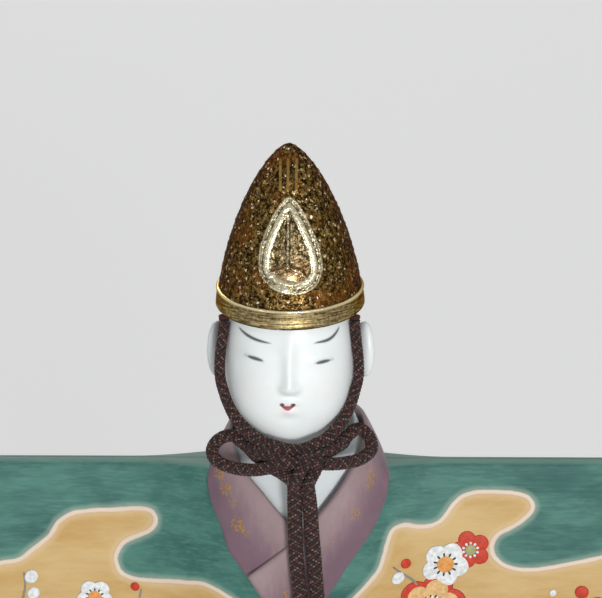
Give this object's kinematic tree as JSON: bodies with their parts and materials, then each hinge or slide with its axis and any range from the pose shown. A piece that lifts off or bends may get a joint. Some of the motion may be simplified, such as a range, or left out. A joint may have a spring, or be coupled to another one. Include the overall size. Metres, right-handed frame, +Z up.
{
  "type": "standing hina doll",
  "caption": "Standing male festival doll: teal robe with open sleeves, layered collars, pleated hakama, gold hat tied on with a brown cord, lift-out turning head.",
  "frame": {"origin": "under the middle of the hem, on the surface that the felt pads stand on", "axes": "+Z up, the doll faces -Y, +X is the doll's own left hand side"},
  "size_m": [0.2264, 0.0604, 0.2431],
  "materials": {
    "teal_robe": "matt brushed paint with painted clouds and plum flowers",
    "mauve_cloth": "dull woven silk with gold flecks",
    "white_collar": "plain white silk",
    "white_skin": "smooth satin shell-white lacquer with a painted face",
    "gold_leaf": "hammered antique gold",
    "brown_cord": "round silk braid",
    "ochre_hakama": "matt brushed paint",
    "bare_wood": "bare sanded",
    "black_felt": "felt",
    "steel": "plain"
  },
  "bodies": {
    "torso": {"base_board": "bare_wood", "base_screw": "steel", "core_post": "bare_wood", "hakama_front": "ochre_hakama", "hakama_back": "ochre_hakama", "waistband": "mauve_cloth", "waistband_knot": "mauve_cloth", "waistband_end_left": "mauve_cloth", "waistband_end_right": "mauve_cloth", "robe_front": "teal_robe", "robe_back": "teal_robe", "sleeve_lining_left": "mauve_cloth", "sleeve_lining_right": "mauve_cloth", "neck_bush": "bare_wood", "white_collar_left": "white_collar", "white_collar_right": "white_collar", "mauve_collar_left": "mauve_cloth", "mauve_collar_right": "mauve_cloth", "felt_pad_1": "black_felt", "felt_pad_2": "black_felt", "felt_pad_3": "black_felt", "felt_pad_4": "black_felt", "robe_pin_1": "bare_wood", "robe_pin_2": "bare_wood", "robe_pin_3": "bare_wood", "robe_pin_4": "bare_wood", "robe_pin_5": "bare_wood", "robe_pin_6": "bare_wood", "robe_pin_7": "bare_wood", "robe_pin_8": "bare_wood", "hakama_pin_1": "bare_wood", "hakama_pin_2": "bare_wood", "hakama_pin_3": "bare_wood", "hakama_pin_4": "bare_wood", "hakama_pin_5": "bare_wood", "hakama_pin_6": "bare_wood"},
    "neck_peg": {"neck_peg": "bare_wood"},
    "head": {"head": "white_skin", "hat_shell": "gold_leaf", "rim_band": "gold_leaf", "hat_lining": "black_felt", "chin_strap_left": "brown_cord", "cord_anchor_left": "brown_cord", "bow_loop_left": "brown_cord", "tail_left": "brown_cord", "tassel_left": "brown_cord", "chin_strap_right": "brown_cord", "cord_anchor_right": "brown_cord", "bow_loop_right": "brown_cord", "tail_right": "brown_cord", "tassel_right": "brown_cord", "bow_knot": "brown_cord"}
  },
  "joints": [
    {"name": "head_lift", "type": "slide", "parent": "torso", "child": "neck_peg", "axis": [0, 0, 1], "range_m": [0, 0.018]},
    {"name": "head_turn", "type": "hinge", "parent": "neck_peg", "child": "head", "pos_m": [0, 0, 0.171], "axis": [0, 0, 1], "range_deg": [-10, 10]}
  ]
}
